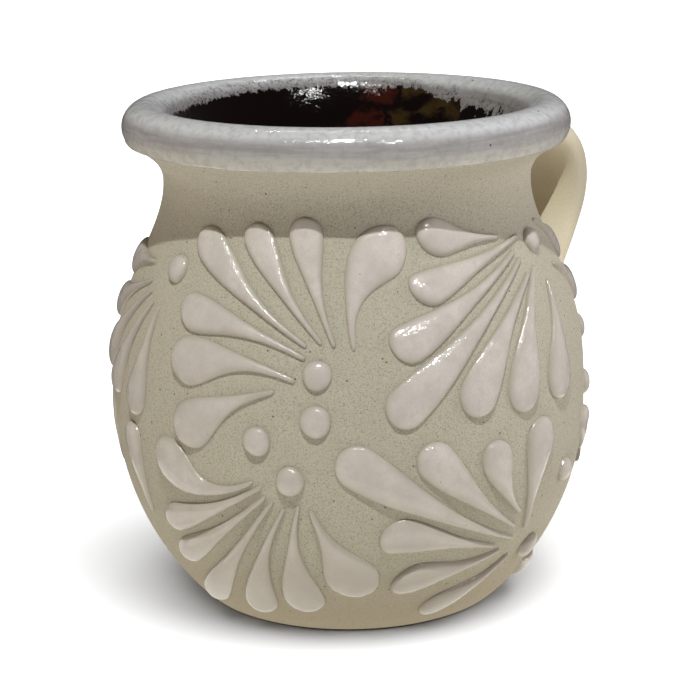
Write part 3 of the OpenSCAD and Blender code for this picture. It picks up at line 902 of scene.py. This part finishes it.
LAMP_DISTANCE = 1.5
LAMPS_FACE = Vector((0, 0, 0.05))
# Lamps that are only mirrored in the gloss: a row overhead, and two that stand alone as angle,
# height and power
OVERHEAD_ANGLES = (150, 165, 178, 190, 206)
OVERHEAD_RISE = 62
OVERHEAD_SIZE = 0.05
OVERHEAD_POWER = 0.6
SPARK_LAMPS = ((-26, 58, 2.0), (30, 50, 4.5))
SPARK_SIZE = 0.1
ROOM_COLOUR = (0.09, 0.088, 0.085, 1)
# The white sheet: side and distance behind the pot in metres, and depth under the foot
SHEET_SIDE = 9
SHEET_BACK = 2
SHEET_DEPTH = 0.1
# Light from the table comes from rings in steps below a depth under the foot, the widest lowest
GLOW_DEPTH = 0.2
GLOW_STEP = 0.05
# Rings as outer radius in metres, colour and strength. Those wider than FAR_GLOW aren't mirrored
FAR_GLOW = 0.15
GLOWS = [(6.0, (1, 0.96, 0.97), 2.48), (1.2, (1, 0.96, 0.97), 0.43), (0.4, (1, 0.96, 0.97), 2.16),
         (0.18, (1, 0.98, 0.9), 0.5), (0.1, (1, 0.98, 0.9), 1.31), (0.06, (1, 0.98, 0.9), 1.0),
         (0.03, (0, 0, 0), 0.0)]


def look_from(angle, elevation):
    """Direction towards a lamp, from its angle round the pot and its height in degrees."""
    turn, rise = math.radians(angle), math.radians(elevation)
    return Vector((math.cos(rise) * math.sin(turn), -math.cos(rise) * math.cos(turn), math.sin(rise)))


def spare_floor(holder, only=False):
    """Keeps a lamp's light off the floor, or on the floor alone."""
    reach = bpy.data.collections.new(holder.name + "_reach")
    reach.objects.link(bpy.data.objects["floor"])
    reach.collection_objects[0].light_linking.link_state = "INCLUDE" if only else "EXCLUDE"
    holder.light_linking.receiver_collection = reach


def add_sun(name, angle, elevation, strength, spread, colour=(1, 1, 1), floor_only=False):
    """A distant lamp, which lights all but the floor or the floor alone."""
    lamp = bpy.data.lights.new(name, "SUN")
    lamp.energy = strength
    lamp.angle = math.radians(spread)
    lamp.color = colour
    holder = bpy.data.objects.new(name, lamp)
    holder.rotation_euler = look_from(angle, elevation).to_track_quat("Z", "Y").to_euler()
    bpy.context.scene.collection.objects.link(holder)
    spare_floor(holder, floor_only)


def add_lamp(name, angle, elevation, size, power, colour=(1, 1, 1), mirrored=False):
    """A square lamp, which either lights the faces or is only mirrored in the glossy ones."""
    lamp = bpy.data.lights.new(name, "AREA")
    lamp.energy = power
    lamp.size = size
    lamp.color = colour
    holder = bpy.data.objects.new(name, lamp)
    way = look_from(angle, elevation)
    holder.location = LAMPS_FACE + way * LAMP_DISTANCE
    holder.rotation_euler = way.to_track_quat("Z", "Y").to_euler()
    holder.visible_diffuse = not mirrored
    holder.visible_glossy = mirrored
    bpy.context.scene.collection.objects.link(holder)
    spare_floor(holder)


def light_room():
    """One compact lamp high in front, weak ones at the sides, mirrored ones, and a dark room."""
    add_sun("high_lamp", -3, 64, 2.53, 1.2, (0.955, 0.992, 1))
    add_lamp("right_lamp", 98, 20, 0.6, 10.0, (0.96, 0.93, 1))
    add_lamp("left_lamp", -85, 22, 1.2, 2.4, (1, 0.7, 0.3))
    for i, (angle, rise, power) in enumerate(SPARK_LAMPS):
        add_lamp("spark_lamp_%d" % i, angle, rise, SPARK_SIZE, power, mirrored=True)
    for i, angle in enumerate(OVERHEAD_ANGLES):
        add_lamp("overhead_lamp_%d" % i, angle, OVERHEAD_RISE, OVERHEAD_SIZE, OVERHEAD_POWER,
                 mirrored=True)
    add_sun("floor_lamp", 10, 74, 18.0, 66, floor_only=True)
    add_sun("floor_side_lamp", 66, 52, 8.5, 64, floor_only=True)
    add_sun("floor_fill_lamp", -42, 42, 3.2, 50, floor_only=True)
    room = bpy.data.worlds.new("plain_room")
    room.use_nodes = True
    room.node_tree.nodes["Background"].inputs["Color"].default_value = ROOM_COLOUR
    room.cycles_visibility.diffuse = False
    bpy.context.scene.world = room


def add_floor(finish):
    """The white sheet that is seen. The light that a table sends back up comes from the rings below it."""
    deselect()
    bpy.ops.mesh.primitive_plane_add(size=SHEET_SIDE, location=(0, SHEET_BACK, -SHEET_DEPTH * MM))
    floor = bpy.context.object
    fix_in_place(floor)
    floor.name = "floor"
    floor.data.materials.append(finish)
    floor.visible_diffuse = False
    floor.visible_glossy = False
    floor.visible_shadow = False


def add_glows():
    """Round sheets of light below the floor, the small ones on top of the large ones."""
    for i, (radius, colour, strength) in enumerate(GLOWS):
        deselect()
        depth = GLOW_DEPTH + GLOW_STEP * (len(GLOWS) - i)
        bpy.ops.mesh.primitive_circle_add(vertices=64, radius=radius, fill_type="NGON",
                                          location=(0, 0, -depth * MM))
        sheet = bpy.context.object
        fix_in_place(sheet)
        sheet.name = "glow_%d" % i
        sheet.data.materials.append(glow(sheet.name, colour, strength))
        sheet.visible_camera = False
        sheet.visible_glossy = radius < FAR_GLOW


# The camera, which stands where the photograph was taken from
CAMERA_AT = Vector((0.15, -420.0, 157.4)) * MM
CAMERA_PITCH = 14.51
CAMERA_ROLL = -0.8
CAMERA_FOCUS_PIXELS = 2142.7
PICTURE_PIXELS = 700
SENSOR_SIDE = 36


def add_camera():
    """The camera, sharp at every distance."""
    lens = bpy.data.cameras.new("camera")
    lens.sensor_width = SENSOR_SIDE
    lens.sensor_height = SENSOR_SIDE
    lens.lens = CAMERA_FOCUS_PIXELS / PICTURE_PIXELS * lens.sensor_width
    lens.clip_start = 0.01
    lens.clip_end = 50
    camera = bpy.data.objects.new("camera", lens)
    bpy.context.scene.collection.objects.link(camera)
    camera.matrix_world = (Matrix.Translation(CAMERA_AT)
                           @ Matrix.Rotation(math.radians(90 - CAMERA_PITCH), 4, "X")
                           @ Matrix.Rotation(math.radians(CAMERA_ROLL), 4, "Z"))
    bpy.context.scene.camera = camera


add_camera()
make_pot(bare_clay())
make_lip_glaze(glaze("lip_glaze"))
make_inside_glaze(glaze("inside_glaze"))
make_handle(handle_clay())
slip = trailed_slip()
make_fans(slip)
make_dots(slip)
add_floor(pale_floor())
add_glows()
light_room()
bpy.context.scene.view_settings.view_transform = "Standard"
